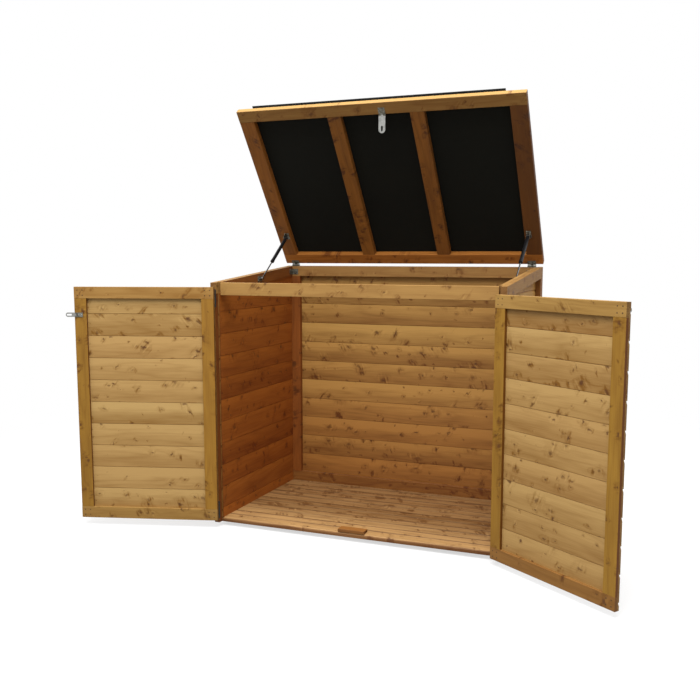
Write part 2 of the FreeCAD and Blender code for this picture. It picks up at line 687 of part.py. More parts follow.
# Gas struts, drawn hanging plumb from the pivot on the lid
def gas_strut(side, sign):
    axis = (f"{sign} * strut_at", "0")
    eye_from = f"{sign} * strut_at - eye_wide / 2"
    tube = new_body(f"{side}_strut_tube")
    pad(tube, rounds(tube, "XY_Plane", axis, ["tube_radius"], "-tube_end"), "tube_end - tube_head")
    pad(tube, rounds(tube, "XY_Plane", axis, ["collar_radius"], "-tube_end"), "collar_long")
    pad(tube, rounds(tube, "XY_Plane", axis, ["neck_radius"], "-tube_head"), "tube_head")
    pad(tube, rounds(tube, "YZ_Plane", ("0", "0"), ["eye_radius"], eye_from), "eye_wide")
    pocket(tube, rounds(tube, "XY_Plane", axis, ["rod_radius + rod_clear"], "-tube_end"), "tube_bore_long")
    pocket(tube, rounds(tube, "YZ_Plane", ("0", "0"), ["strut_pin + pin_clear"], eye_from), "eye_wide")
    keep(tube, f"{side}_strut_tube", STRUT)

    rod = new_body(f"{side}_strut_rod")
    shank = rounds(rod, "XY_Plane", axis, ["rod_radius"], "-strut_length")
    pad(rod, shank, "strut_length - tube_end + rod_engaged")
    pad(rod, rounds(rod, "YZ_Plane", ("0", "-strut_length"), ["eye_radius"], eye_from), "eye_wide")
    keep(rod, f"{side}_strut_rod", STRUT)


# Strut brackets: a lug with a pin under the lid, a plate with a stud on the cleat
def strut_brackets():
    on_lid = new_body("lid_strut_brackets")
    on_wall = new_body("wall_strut_brackets")
    near = "strut_at + eye_wide / 2 + strut_end_clear"
    pin_from = "strut_at - eye_wide / 2 - strut_end_clear"
    stud_from = "strut_at + eye_wide / 2 + open_pivot_gap"
    tip = "(strut_pin + lug_margin)"
    lug = [(f"-strut_arm - {tip}", f"strut_lug_z - {tip}"), (f"-strut_arm + {tip}", f"strut_lug_z - {tip}"),
           ("-strut_arm + lug_long / 2", "lid_under"), ("-strut_arm - lug_long / 2", "lid_under")]
    foot = rectangle("strut_at - lug_foot / 2", "-strut_arm - lug_long / 2", "lug_foot", "lug_long")
    plate = rectangle("-foot_plate_long / 2", "-foot_plate_high / 2", "foot_plate_long", "foot_plate_high")
    for sign in (-1, 1):
        back = sign < 0

        def out(distance):
            return f"{sign} * ({distance})"

        pad(on_lid, outline(on_lid, "YZ_Plane", lug, out(near)), "lug_thick", back)
        pad(on_lid, outline(on_lid, "XY_Plane", flipped(foot, sign), "lid_under - lug_thick"), "lug_thick")
        pin = rounds(on_lid, "YZ_Plane", ("-strut_arm", "strut_lug_z"), ["strut_pin"], out(pin_from))
        pad(on_lid, pin, f"{near} - ({pin_from})", back)
        pad(on_wall, outline(on_wall, "YZ_Plane", plate, out("cleat_inner - lug_thick")), "lug_thick", back)
        stud = rounds(on_wall, "YZ_Plane", ("0", "0"), ["foot_stud"], out(stud_from))
        pad(on_wall, stud, f"cleat_inner - ({stud_from})", back)
    keep(on_lid, "lid_strut_brackets", LID)
    keep(on_wall, "wall_strut_brackets", STRUT_FOOT)


floor()
side_wall("left", -1)
side_wall("right", 1)
back_wall()
front_rail_and_corners()
door("left", 1, LEFT_DOOR)
door("right", -1, RIGHT_DOOR)
left_catch()
right_staple()
lid()
lid_hinges()
lid_hasp()
gas_strut("left", -1)
gas_strut("right", 1)
strut_brackets()
document.recompute()

# Nothing is written unless every object is sound
for item in document.Objects:
    if "Invalid" in item.State or "Error" in item.State:
        raise RuntimeError("failed object: " + item.Name)
for piece in finished:
    if piece.Shape.isNull() or not piece.Shape.isValid() or not piece.Shape.Solids:
        raise RuntimeError("bad shape: " + piece.Label)

os.makedirs("parts", exist_ok=True)
for piece in finished:
    piece.Shape.exportStep(os.path.join("parts", piece.Label + ".step"))
print(len(finished), "sub-parts written")
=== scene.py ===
# %% [markdown]
# # Garden storage box
#
# A tall shiplap box stands open: two framed doors swung out, a felted lid held up on gas struts. The
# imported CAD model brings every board, rail and fitting in its true place. This script gives them their
# finishes, grooves the floor boards, adds the nails and screws, and sets up a plain studio to look at
# them in.

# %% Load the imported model
import json
from math import cos, pi, radians, sin

import bmesh
import bpy
from mathutils import Matrix, Vector

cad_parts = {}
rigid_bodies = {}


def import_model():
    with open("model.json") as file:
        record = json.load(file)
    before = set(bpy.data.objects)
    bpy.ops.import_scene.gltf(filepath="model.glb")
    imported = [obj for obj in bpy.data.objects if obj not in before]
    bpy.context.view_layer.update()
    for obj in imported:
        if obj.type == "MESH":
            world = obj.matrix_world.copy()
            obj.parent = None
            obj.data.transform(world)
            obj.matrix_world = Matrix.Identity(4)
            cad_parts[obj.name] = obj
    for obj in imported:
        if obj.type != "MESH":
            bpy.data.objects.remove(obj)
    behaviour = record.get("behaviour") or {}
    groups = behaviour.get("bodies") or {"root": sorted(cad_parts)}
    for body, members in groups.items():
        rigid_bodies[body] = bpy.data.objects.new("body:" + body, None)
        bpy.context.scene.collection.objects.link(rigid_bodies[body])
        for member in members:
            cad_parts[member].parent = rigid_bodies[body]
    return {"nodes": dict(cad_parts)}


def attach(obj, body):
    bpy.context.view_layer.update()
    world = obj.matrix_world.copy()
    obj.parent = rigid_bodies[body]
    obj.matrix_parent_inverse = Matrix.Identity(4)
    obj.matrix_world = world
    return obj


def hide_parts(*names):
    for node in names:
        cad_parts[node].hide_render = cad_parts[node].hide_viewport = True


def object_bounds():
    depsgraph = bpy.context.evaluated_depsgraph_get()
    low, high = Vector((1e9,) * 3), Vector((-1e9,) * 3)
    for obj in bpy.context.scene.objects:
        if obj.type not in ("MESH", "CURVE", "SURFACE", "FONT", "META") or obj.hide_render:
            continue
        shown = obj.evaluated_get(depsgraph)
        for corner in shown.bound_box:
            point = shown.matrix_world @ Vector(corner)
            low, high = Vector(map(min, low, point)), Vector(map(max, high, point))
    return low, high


for thing in list(bpy.data.objects):
    bpy.data.objects.remove(thing)
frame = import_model()
cad_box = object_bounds()
print("pieces in the model:", len(frame["nodes"]))

# %% [markdown]
# ## Where the moving pieces were drawn
#
# The doors and the lid stand open at odd angles, but the joiner made them straight. A frame for each
# one gives back the straight drawing, so grain and nail rows can be laid out square and still land on
# the opened piece. Laying them out on the open piece would need a slanted direction for every row.

# %% Frames of the doors and the lid
DOOR_HINGE_X, DOOR_HINGE_Y = 0.5765, -0.364
LEFT_DOOR_TURN, RIGHT_DOOR_TURN = -163.0, 144.5
RIGHT_DOOR_SAG = 0.010
LID_AXIS, LID_TURN = (0, 0.348, 1.0705), -53.336


def standing(place, degrees, axis):
    return Matrix.Translation(place) @ Matrix.Rotation(radians(degrees), 4, axis)


DRAWN = {
    "carcass": Matrix.Identity(4),
    "left_door": standing((-DOOR_HINGE_X, DOOR_HINGE_Y, 0), LEFT_DOOR_TURN, "Z"),
    "right_door": standing((DOOR_HINGE_X, DOOR_HINGE_Y, -RIGHT_DOOR_SAG), RIGHT_DOOR_TURN, "Z"),
    "lid": standing(LID_AXIS, LID_TURN, "X"),
}
print("frames:", ", ".join(DRAWN))

# %% [markdown]
# ## Small helpers for shader nodes
#
# A finish is a chain of nodes, and most links in it are sums, soft steps and colour mixes. The chain
# could be wired by hand in the shader editor. In a script, short helpers keep it readable: each one
# makes a node, feeds it and hands back its output.

# %% Making and feeding a node
def node(tree, kind, **settings):
    made = tree.nodes.new(kind)
    for name, value in settings.items():
        setattr(made, name, value)
    return made


def feed(tree, socket, value):
    """Link a socket to another one, or set it to a plain value."""
    if isinstance(value, bpy.types.NodeSocket):
        tree.links.new(value, socket)
    else:
        socket.default_value = value


def feed_named(tree, made, **values):
    """Feed a node's inputs by name, with _ for a space."""
    for name, value in values.items():
        feed(tree, made.inputs[name.replace("_", " ")], value)


print("a node can be made and fed")

# %% Sums and soft steps
def maths(tree, operation, *values, clamp=False):
    made = node(tree, "ShaderNodeMath", operation=operation, use_clamp=clamp)
    for socket, value in zip(made.inputs, values):
        feed(tree, socket, value)
    return made.outputs[0]


def times(tree, first, second, clamp=False):
    return maths(tree, "MULTIPLY", first, second, clamp=clamp)


def plus(tree, base, value, weight, clamp=False):
    """The base plus a weighted value."""
    return maths(tree, "MULTIPLY_ADD", value, weight, base, clamp=clamp)


def largest(tree, first, *others):
    for value in others:
        first = maths(tree, "MAXIMUM", first, value)
    return first


def centred(tree, value):
    """A value from 0 to 1, moved to lie round 0."""
    return maths(tree, "SUBTRACT", value, 0.5)


def soft_step(tree, value, start, end, low=0.0, high=1.0):
    """Rise smoothly from low at start to high at end."""
    made = node(tree, "ShaderNodeMapRange", interpolation_type="SMOOTHSTEP")
    feed_named(tree, made, Value=value, From_Min=start, From_Max=end, To_Min=low, To_Max=high)
    return made.outputs[0]


print("sums and soft steps: ready")

# %% Colours and noise
# sockets of a colour mix, by number because their names repeat
MIX_AMOUNT, MIX_FIRST, MIX_SECOND, MIX_RESULT = 0, 6, 7, 2


def tint(tree, amount, first, second, kind="MIX"):
    made = node(tree, "ShaderNodeMix", data_type="RGBA", blend_type=kind)
    for index, value in ((MIX_AMOUNT, amount), (MIX_FIRST, first), (MIX_SECOND, second)):
        feed(tree, made.inputs[index], value)
    return made.outputs[MIX_RESULT]


def speckle(tree, place, scale=1.0, detail=2.0, roughness=0.5):
    made = node(tree, "ShaderNodeTexNoise")
    feed_named(tree, made, Vector=place, Scale=scale, Detail=detail, Roughness=roughness)
    return made.outputs["Fac"]


print("colours and noise: ready")

# %% Points and groups
def point(tree, x, y, z):
    made = node(tree, "ShaderNodeCombineXYZ")
    feed_named(tree, made, X=x, Y=y, Z=z)
    return made.outputs[0]


def parts_of(tree, value, kind="XYZ"):
    """The three parts of a vector, or of a colour with kind Color."""
    made = node(tree, "ShaderNodeSeparate" + kind)
    feed(tree, made.inputs[0], value)
    return made.outputs[:3]


def new_group(name, wanted, given):
    """Empty node group with named inputs and outputs."""
    group = bpy.data.node_groups.new(name, "ShaderNodeTree")
    for side, sockets in (("INPUT", wanted), ("OUTPUT", given)):
        for label, kind in sockets:
            group.interface.new_socket(label, in_out=side, socket_type="NodeSocket" + kind)
    return group, node(group, "NodeGroupInput").outputs, node(group, "NodeGroupOutput").inputs


print("points and groups: ready")

# %% [markdown]
# ## Knotty softwood
#
# The box is cheap knotty pine dipped in brown treatment. A picture of boards would repeat and stretch,
# so the figure is drawn with nodes, in metres along the grain, across it and through the board. It
# lives in one node group that every timber finish uses with its own colours and its own wear.

# %% Sockets of the wood group
WIDER_THAN_ANY, BELOW_ALL = 10.0, -1.0
WOOD, wood_in, wood_out = new_group(
    "knotty_softwood",
    [("Place", "Vector"), ("Along", "Float"), ("Across", "Float"), ("Board", "Float"), ("Lap", "Float"),
     ("Seed", "Float"), ("Shading", "Float"), ("Streaks", "Float"), ("Edge", "Float"), ("Damp", "Float"),
     ("Inside", "Float"), ("Fade", "Float"), ("Pale", "Color"), ("Deep", "Color"), ("Knot", "Color")],
    [("Color", "Color"), ("Roughness", "Float"), ("Height", "Float")])
WOOD.interface.items_tree["Board"].default_value = WIDER_THAN_ANY
WOOD.interface.items_tree["Lap"].default_value = BELOW_ALL
print("the wood group takes:", ", ".join(socket.name for socket in wood_in if socket.name))

# %% [markdown]
# ### One board after another
#
# A wall is one piece in the model, but many boards. Each board reads its own number from its height,
# and dice thrown on that number slide its figure and change its tone, so no two boards match. Cutting
# every wall into pieces would do the same with many more finishes. The laps on the inner side of a wall
# sit a little higher than those outside.

# %% A number and a place of its own for each board
INNER_LAP_HIGHER = 0.008
DICE_ROW = 0.37
SLIDE_ALONG, SLIDE_ACROSS = 23.0, 11.0

along, across, through = parts_of(WOOD, wood_in["Place"])
inner = maths(WOOD, "GREATER_THAN", through, 0.0)
lap = plus(WOOD, wood_in["Lap"], inner, INNER_LAP_HIGHER)
stacked = maths(WOOD, "DIVIDE", maths(WOOD, "SUBTRACT", across, lap), wood_in["Board"])
number, up = maths(WOOD, "FLOOR", stacked), maths(WOOD, "FRACT", stacked)
dice = node(WOOD, "ShaderNodeTexWhiteNoise", noise_dimensions="3D")
feed(WOOD, dice.inputs["Vector"], point(WOOD, number, wood_in["Seed"], DICE_ROW))
dice_one, dice_two, dice_three = parts_of(WOOD, dice.outputs["Color"], "Color")
own_along = plus(WOOD, along, dice_one, SLIDE_ALONG)
own_across = plus(WOOD, across, dice_two, SLIDE_ACROSS)


def stretched(scale_along, scale_across, scale_through=0.0):
    """The board's own place, scaled along, across and through it."""
    return point(WOOD, times(WOOD, own_along, scale_along), times(WOOD, own_across, scale_across),
                 times(WOOD, through, scale_through))


print("nodes that number the boards:", len(WOOD.nodes))

# %% [markdown]
# ### Knots
#
# A knot is a branch cut through: round where the saw met it square, a long spike where it ran along the
# branch. Cells of a Voronoi pattern give the centres, and each cell throws dice for whether it has a
# knot and how big. A wandering offset keeps the rims ragged. Round every heart the wood swells, and
# dark whiskers and pale feathers of torn grain lean the same way as the spikes.

# %% Ragged rims and leaning spikes
WANDER_SCALE, WANDER_ALONG, WANDER_ACROSS = 48.0, 0.030, 0.024
LEAN_LEAST, LEAN_SPAN = -0.8, 1.6

drift = node(WOOD, "ShaderNodeTexNoise")
feed_named(WOOD, drift, Vector=stretched(WANDER_SCALE, WANDER_SCALE), Scale=1.0)
drift_along, drift_across = parts_of(WOOD, drift.outputs["Color"], "Color")[:2]
wander_along = plus(WOOD, own_along, centred(WOOD, drift_along), WANDER_ALONG)
wander_across = plus(WOOD, own_across, centred(WOOD, drift_across), WANDER_ACROSS)
lean = plus(WOOD, LEAN_LEAST, dice_three, LEAN_SPAN)
print("nodes with the wandering offset:", len(WOOD.nodes))

# %% Hearts and swellings
HEART_RIM, HEART_CORE, HEART_LEAST = 0.95, 0.2, 0.002
SWELL_RIM, SWELL_LEAST = 3.6, 0.001
LUCK_FADE, PALEST_HEART = 0.1, 0.5


def knots(cells_along, cells_across, luck_needed, biggest, leaning=0.0):
    """Two masks for one kind of knot: the dark heart and the swelling round it."""
    slid = plus(WOOD, wander_along, wander_across, leaning)
    cells = node(WOOD, "ShaderNodeTexVoronoi", voronoi_dimensions="2D")
    feed_named(WOOD, cells, Scale=1.0, Vector=point(WOOD, times(WOOD, slid, cells_along),
                                                    times(WOOD, wander_across, cells_across), 0.0))
    far = cells.outputs["Distance"]
    luck, depth = parts_of(WOOD, cells.outputs["Color"], "Color")[:2]
    lucky = soft_step(WOOD, luck, luck_needed, luck_needed + LUCK_FADE)
    size = soft_step(WOOD, luck, luck_needed, 1.0, high=biggest)
    heart = soft_step(WOOD, far, plus(WOOD, HEART_LEAST, size, HEART_RIM), times(WOOD, size, HEART_CORE))
    heart = times(WOOD, heart, lucky)
    heart = times(WOOD, heart, plus(WOOD, PALEST_HEART, depth, 1.0 - PALEST_HEART))
    swell = soft_step(WOOD, far, plus(WOOD, SWELL_LEAST, size, SWELL_RIM), 0.0)
    return heart, times(WOOD, swell, lucky)


kinds = {"round": knots(8.5, 11.0, luck_needed=0.22, biggest=0.135),
         "pin": knots(17.0, 24.0, luck_needed=0.52, biggest=0.16),
         "spike": knots(11.0, 4.5, luck_needed=0.36, biggest=0.085, leaning=lean)}
dark_knot = largest(WOOD, *(heart for heart, swell in kinds.values()))
hill = largest(WOOD, *(swell for heart, swell in kinds.values()))
print("kinds of knot:", ", ".join(kinds))

# %% Whiskers and feathers
HAIRS_ALONG, HAIRS_ACROSS = 75.0, 22.0

slanted = plus(WOOD, own_along, own_across, lean)
hairs = speckle(WOOD, point(WOOD, times(WOOD, slanted, HAIRS_ALONG),
                            times(WOOD, own_across, HAIRS_ACROSS), through))
whisker = times(WOOD, soft_step(WOOD, hairs, 0.52, 0.70), hill)
feather = times(WOOD, soft_step(WOOD, hairs, 0.46, 0.30), hill)
print("nodes with the knots:", len(WOOD.nodes))

# %% [markdown]
# ### Rings, fibre and dirt
#
# On the face of a board the growth rings are contour lines of a stretched noise. The swelling of a knot
# lifts that field like a hill, so the lines swing round it as they do in real wood. Sawn ends cut the
# rings as arcs. Dirt settles in short cracks, and in long lines in the joint behind each board and the
# groove down its middle.

# %% Rings, fibre and clouds of treatment
# how often each noise changes in a metre along, across and through a board
SHEET, FIBRE, CLOUD = (1.3, 13.0, 13.0), (9.0, 330.0, 330.0), (3.2, 17.0, 3.0)
RINGS_IN_SHEET, RINGS_ROUND_KNOT, LATE_WOOD = 14.0, 1.6, 2.2
ARCS_PER_METRE, HEART_BELOW, HEART_SPREAD = 420.0, 0.03, 0.1

sheet = speckle(WOOD, stretched(*SHEET), detail=1.5)
field = maths(WOOD, "ADD", times(WOOD, sheet, RINGS_IN_SHEET), times(WOOD, hill, RINGS_ROUND_KNOT))
ring = maths(WOOD, "POWER", maths(WOOD, "PINGPONG", field, 1.0), LATE_WOOD)
fibre = speckle(WOOD, stretched(*FIBRE), detail=3.0)
cloud = speckle(WOOD, stretched(*CLOUD), detail=3.0, roughness=0.6)

heart_off = maths(WOOD, "ADD", across, plus(WOOD, HEART_BELOW, dice_two, HEART_SPREAD))
squares = maths(WOOD, "ADD", maths(WOOD, "POWER", heart_off, 2.0), maths(WOOD, "POWER", through, 2.0))
arcs = maths(WOOD, "PINGPONG", times(WOOD, maths(WOOD, "SQRT", squares), ARCS_PER_METRE), 1.0)
end_face = soft_step(WOOD, maths(WOOD, "ABSOLUTE", wood_in["Along"]), 0.8, 0.95)
print("nodes with the rings:", len(WOOD.nodes))

# %% Dirt
CRACKS = (1.8, 190.0, 190.0)

crack = soft_step(WOOD, speckle(WOOD, stretched(*CRACKS)), 0.56, 0.68, high=0.3)
joint = soft_step(WOOD, up, 0.87, 0.96)
groove = soft_step(WOOD, maths(WOOD, "ABSOLUTE", centred(WOOD, up)), 0.06, 0.02, high=0.8)
patchy = soft_step(WOOD, cloud, 0.3, 0.55, low=0.5, high=0.9)
line = times(WOOD, largest(WOOD, joint, groove), patchy)
dirt = times(WOOD, largest(WOOD, crack, line), wood_in["Streaks"])
print("nodes with the dirt:", len(WOOD.nodes))

# %% [markdown]
# ### Tone and colour
#
# One number says how dark the wood is, from its palest colour to its deepest: all marks are weighed and
# added up in it. Each lapped board gets painted light along its top edge and a painted shadow of its
# lap at its foot. Side faces get a tone of their own: a painted highlight on the front rail, the stop
# block and the lid's front edge, a painted shade on the floor's nose, and darker, redder sides on the
# stiles. The floor gets painted light at the front, where light falls in through the doors, and painted
# shade towards the back. The colour then darkens and reddens: towards the foot of a piece, which is
# painted shade on the back wall; on inner faces, as a painted shade of deep red brown; and on each board
# by a random amount. Knots and dirt go over it.

# %% Tone
PLAIN_TONE, CLOUD_SHARE, CALMER = 0.445, 0.65, -0.45
TOP_LIGHT_LEAST, TOP_LIGHT_SPAN = 0.45, 0.5
FRONT_OF_FLOOR, BACK_OF_FLOOR, PAINTED_LIGHT_SHIFT = 0.03, 0.33, 0.45
FOOT_OF_BOARD, LAP_SHADOW_DARKER = 0.05, 0.14

# painted light: each lapped board is paler towards its top edge and darker below, as if lit from above
painted_top_light = times(WOOD, soft_step(WOOD, up, 0.2, 1.0), plus(WOOD, TOP_LIGHT_LEAST, dice_two, TOP_LIGHT_SPAN))
# faces looking across the grain; the Edge share paints a highlight on them below 0 and darkens them
# above 0
side_face = soft_step(WOOD, maths(WOOD, "ABSOLUTE", wood_in["Across"]), 0.7, 0.9)
# painted light on the floor: paler at the front, where light falls in through the doors, darker behind
away = maths(WOOD, "SUBTRACT", soft_step(WOOD, across, FRONT_OF_FLOOR, BACK_OF_FLOOR), PAINTED_LIGHT_SHIFT)
clouding = plus(WOOD, CLOUD_SHARE, wood_in["Streaks"], CALMER)
tone = plus(WOOD, PLAIN_TONE, centred(WOOD, cloud), clouding)
for mark, share in ((ring, 0.17), (centred(WOOD, fibre), 0.40), (centred(WOOD, dice_three), 0.32),
                    (times(WOOD, painted_top_light, wood_in["Shading"]), -1.0), (hill, 0.18), (whisker, 0.70),
                    (feather, -0.40), (side_face, wood_in["Edge"]), (away, wood_in["Fade"])):
    tone = plus(WOOD, tone, mark, share)
# painted shadow of the lap: every board is darker along its foot
foot = soft_step(WOOD, up, FOOT_OF_BOARD, 0.0, high=LAP_SHADOW_DARKER)
tone = maths(WOOD, "ADD", tone, foot, clamp=True)
print("nodes with the tone:", len(WOOD.nodes))

# %% Colour, roughness and relief
SHADE_AND_DAMP_RED = (0.64, 0.35, 0.17, 1.0)
LOW_TINT_FROM, LOW_TINT_FULL, SIDE_REDDENING, BOARD_DAMP = 0.85, 0.05, 0.7, 0.22
KNOT_DARK, KNOT_WORN = 0.90, -0.60
END_DARK, END_ARCS = 0.35, 0.35
ROUGH_LEAST, ROUGH_FIBRE, ROUGH_KNOT = 0.50, 0.25, -0.12
RELIEF_FIBRE, RELIEF_RING, RELIEF_KNOT = 0.65, 0.35, 0.5

# darker and redder towards the foot of a piece, which on the back wall and its bottom rail is painted
# shade
damp = times(WOOD, soft_step(WOOD, across, LOW_TINT_FROM, LOW_TINT_FULL), wood_in["Damp"])
# painted shade: inner faces turn a deeper red brown by the Inside share
damp = plus(WOOD, damp, inner, wood_in["Inside"])
# a positive Edge share also reddens these side faces, as painted shade on the floor's nose
damp = plus(WOOD, damp, times(WOOD, side_face, wood_in["Edge"], clamp=True), SIDE_REDDENING)
redness = plus(WOOD, damp, dice_one, BOARD_DAMP, clamp=True)
warm = tint(WOOD, redness, tint(WOOD, tone, wood_in["Pale"], wood_in["Deep"]), SHADE_AND_DAMP_RED, "MULTIPLY")
shown_knot = times(WOOD, dark_knot, plus(WOOD, KNOT_DARK, wood_in["Streaks"], KNOT_WORN))
face = tint(WOOD, largest(WOOD, shown_knot, dirt), warm, wood_in["Knot"])
sawn_end = tint(WOOD, plus(WOOD, END_DARK, arcs, END_ARCS), warm, wood_in["Knot"])
feed(WOOD, wood_out["Color"], tint(WOOD, end_face, face, sawn_end))

dull = plus(WOOD, ROUGH_LEAST, fibre, ROUGH_FIBRE)
feed(WOOD, wood_out["Roughness"], plus(WOOD, dull, dark_knot, ROUGH_KNOT))
relief = plus(WOOD, times(WOOD, fibre, RELIEF_FIBRE), ring, RELIEF_RING)
feed(WOOD, wood_out["Height"], plus(WOOD, relief, dark_knot, RELIEF_KNOT))
print("wood group:", len(WOOD.nodes), "nodes")

# %% [markdown]
# ## Grooved floor boards
#
# The floor is laid from six boards with soft edges, and each one has a groove down its middle that fills
# with dirt. The front board ends in a rounded nose at the doors. A section is drawn for each board and
# pushed out along its length, as a moulding is run through a planer, because bevelling a plain plank
# would give no groove.

# %% A piece from a mesh
def as_mesh(made, name):
    """Turn a finished bmesh into a mesh."""
    mesh = bpy.data.meshes.new(name)
    made.to_mesh(mesh)
    made.free()
    return mesh


def set_out(name, data):
    thing = bpy.data.objects.new(name, data)
    bpy.context.scene.collection.objects.link(thing)
    return thing


def add_piece(name, made, body):
    """Turn a finished bmesh into a piece that rides on a body."""
    piece = set_out(name, as_mesh(made, name))
    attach(piece, body)
    return piece


print("a mesh can become a piece")

# %% Section of a floor board
FLOOR_UNDER, FLOOR_TOP = 0.016, 0.034
FLOOR_STEP, FLOOR_JOINT = 0.11677, 0.0016
NOSE, SOFT_EDGE, GROOVE_HALF, GROOVE_DEEP = 0.010, 0.003, 0.003, 0.0025
CORNER_STEPS = 4


def round_corner(centre_y, radius, start):
    """Points of a quarter circle that ends a quarter turn after start, at the top of a floor board."""
    turns = [start + pi / 2 * k / CORNER_STEPS for k in range(CORNER_STEPS + 1)]
    return [(centre_y + radius * cos(a), FLOOR_TOP - radius + radius * sin(a)) for a in turns]


def floor_section(near, nose):
    """Outline of one board, from its front to its back."""
    far = near + FLOOR_STEP - FLOOR_JOINT
    middle = (near + far) / 2
    return [(near, FLOOR_UNDER), (far, FLOOR_UNDER), *round_corner(far - SOFT_EDGE, SOFT_EDGE, 0.0),
            (middle + GROOVE_HALF, FLOOR_TOP), (middle, FLOOR_TOP - GROOVE_DEEP),
            (middle - GROOVE_HALF, FLOOR_TOP), *round_corner(near + nose, nose, pi / 2)]


print("points round a floor board:", len(floor_section(0.0, NOSE)))

# %% Floor boards
FLOOR_FRONT, FLOOR_HALF, FLOOR_BOARDS = -0.339, 0.578, 6


def floor_boards():
    made = bmesh.new()
    for count in range(FLOOR_BOARDS):
        section = floor_section(FLOOR_FRONT + count * FLOOR_STEP, SOFT_EDGE if count else NOSE)
        ends = [[made.verts.new((x, y, z)) for y, z in section] for x in (-FLOOR_HALF, FLOOR_HALF)]
        for k in range(len(section)):
            made.faces.new((ends[0][k - 1], ends[0][k], ends[1][k], ends[1][k - 1]))
        for end in ends:
            made.faces.new(end)
    bmesh.ops.recalc_face_normals(made, faces=made.faces)
    piece = add_piece("grooved_floor_boards", made, "carcass")
    piece.data.materials.append(None)  # a slot for its softwood
    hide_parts("floor_boards")
    return piece


GROOVED_FLOOR = floor_boards()
print("floor faces:", len(GROOVED_FLOOR.data.polygons))

# %% [markdown]
# ## Dressing the timber
#
# Boards are paler than the frames they are nailed to, the inside is painted a deep red brown as painted
# shade, and the floor is painted paler towards the doorway as painted light. Each rail, post and wall
# gets its own copy of the finish. Two directions are enough to aim it: the way the grain runs and the
# way the boards are stacked. Unwrapping each piece would do it too, but the grain's scale would be lost.

# %% A finish and its bump
def new_finish(name):
    """A new material, its node tree and its shader."""
    finish = bpy.data.materials.new(name)
    finish.use_nodes = True
    return finish, finish.node_tree, finish.node_tree.nodes["Principled BSDF"]


def emboss(tree, shader, height, depth, strength=1.0):
    bump = node(tree, "ShaderNodeBump")
    feed_named(tree, bump, Strength=strength, Distance=depth, Height=height)
    feed(tree, shader.inputs["Normal"], bump.outputs["Normal"])


def wear(piece, finish):
    for slot in piece.material_slots:
        slot.material = finish


print("finishes before the timber:", len(bpy.data.materials))

# %% Softwood on a piece
X, Y, Z = Vector((1, 0, 0)), Vector((0, 1, 0)), Vector((0, 0, 1))
SEED_STEP = 1.7
GRAIN_DEPTH, GRAIN_STRENGTH, WOOD_GLOSS = 0.0006, 0.35, 0.3


def timber(piece, body, along, across, colours, origin=(0, 0, 0), **figure):
    """Softwood on a piece, laid out in the frame that its body was drawn in."""
    finish, tree, shader = new_finish(piece.name + "_softwood")
    axes = Matrix((along, across, along.cross(across))).transposed().to_4x4()
    lay = DRAWN[body] @ Matrix.Translation(origin) @ axes
    coordinates = node(tree, "ShaderNodeTexCoord")
    place = node(tree, "ShaderNodeMapping", vector_type="TEXTURE")
    feed_named(tree, place, Vector=coordinates.outputs["Object"], Location=lay.to_translation(),
               Rotation=lay.to_euler())
    wood = node(tree, "ShaderNodeGroup", node_tree=WOOD)
    feed_named(tree, wood, Place=place.outputs[0], Seed=len(bpy.data.materials) * SEED_STEP)
    for label, axis in (("Along", X), ("Across", Y)):
        facing = node(tree, "ShaderNodeVectorMath", operation="DOT_PRODUCT")
        feed(tree, facing.inputs[0], coordinates.outputs["Normal"])
        facing.inputs[1].default_value = lay.to_3x3() @ axis
        feed(tree, wood.inputs[label], facing.outputs["Value"])
    for label, colour in zip(("Pale", "Deep", "Knot"), colours):
        wood.inputs[label].default_value = colour
    for label, value in figure.items():
        wood.inputs[label.capitalize()].default_value = value
    feed(tree, shader.inputs["Base Color"], wood.outputs["Color"])
    feed(tree, shader.inputs["Roughness"], wood.outputs["Roughness"])
    shader.inputs["Specular IOR Level"].default_value = WOOD_GLOSS
    emboss(tree, shader, wood.outputs["Height"], GRAIN_DEPTH, GRAIN_STRENGTH)
    wear(piece, finish)


def batten(name, body, along, across, colours, origin=(0, 0, 0), **figure):
    """Softwood on a straight rail, post or block of the model."""
    timber(frame["nodes"][name], body, along, across, colours, origin, **figure)


print("softwood can be laid on a piece")

# %% Lapped boards
BOARD_COVER = 0.0905
DOOR_BOTTOM = 0.032
WALL_LAP, DOOR_LAP = FLOOR_TOP + 0.0325, DOOR_BOTTOM + 0.0265


def boarding(name, body, along, colours, origin, lap, **figure):
    """Lapped boards, stacked upwards."""
    timber(frame["nodes"][name], body, along, Z, colours, origin, board=BOARD_COVER, lap=lap, **figure)


print("first laps:", WALL_LAP, DOOR_LAP)

# %% Colours of the timber
def srgb(red, green, blue):
    """A colour on a scale of 0 to 255, as the linear values that shaders use."""
    def linear(part):
        part /= 255
        return part / 12.92 if part <= 0.04045 else ((part + 0.055) / 1.055) ** 2.4
    return (linear(red), linear(green), linear(blue), 1.0)


# each one: pale wood, deep wood and knots
KNOT = srgb(82, 44, 12)
DOOR_BOARD = srgb(195, 159, 99), srgb(128, 86, 24), KNOT
DOOR_RAIL = srgb(204, 166, 98), srgb(140, 97, 34), KNOT
DOOR_LOW_RAIL = srgb(186, 149, 82), srgb(120, 82, 24), KNOT
RAIL = srgb(184, 143, 80), srgb(124, 82, 34), KNOT
STILE = srgb(182, 138, 52), srgb(113, 72, 12), KNOT
POST = srgb(150, 100, 44), srgb(98, 58, 20), KNOT
WALL_BOARD = srgb(188, 146, 78), srgb(105, 61, 11), KNOT
SIDE_BOARD = srgb(203, 155, 80), srgb(124, 72, 18), KNOT
BACK_POST = srgb(154, 87, 29), srgb(90, 44, 8), KNOT
FLOOR_BOARD = srgb(213, 171, 112), srgb(110, 71, 31), srgb(58, 32, 16)
LID_RAIL = srgb(166, 107, 41), srgb(80, 43, 7), KNOT
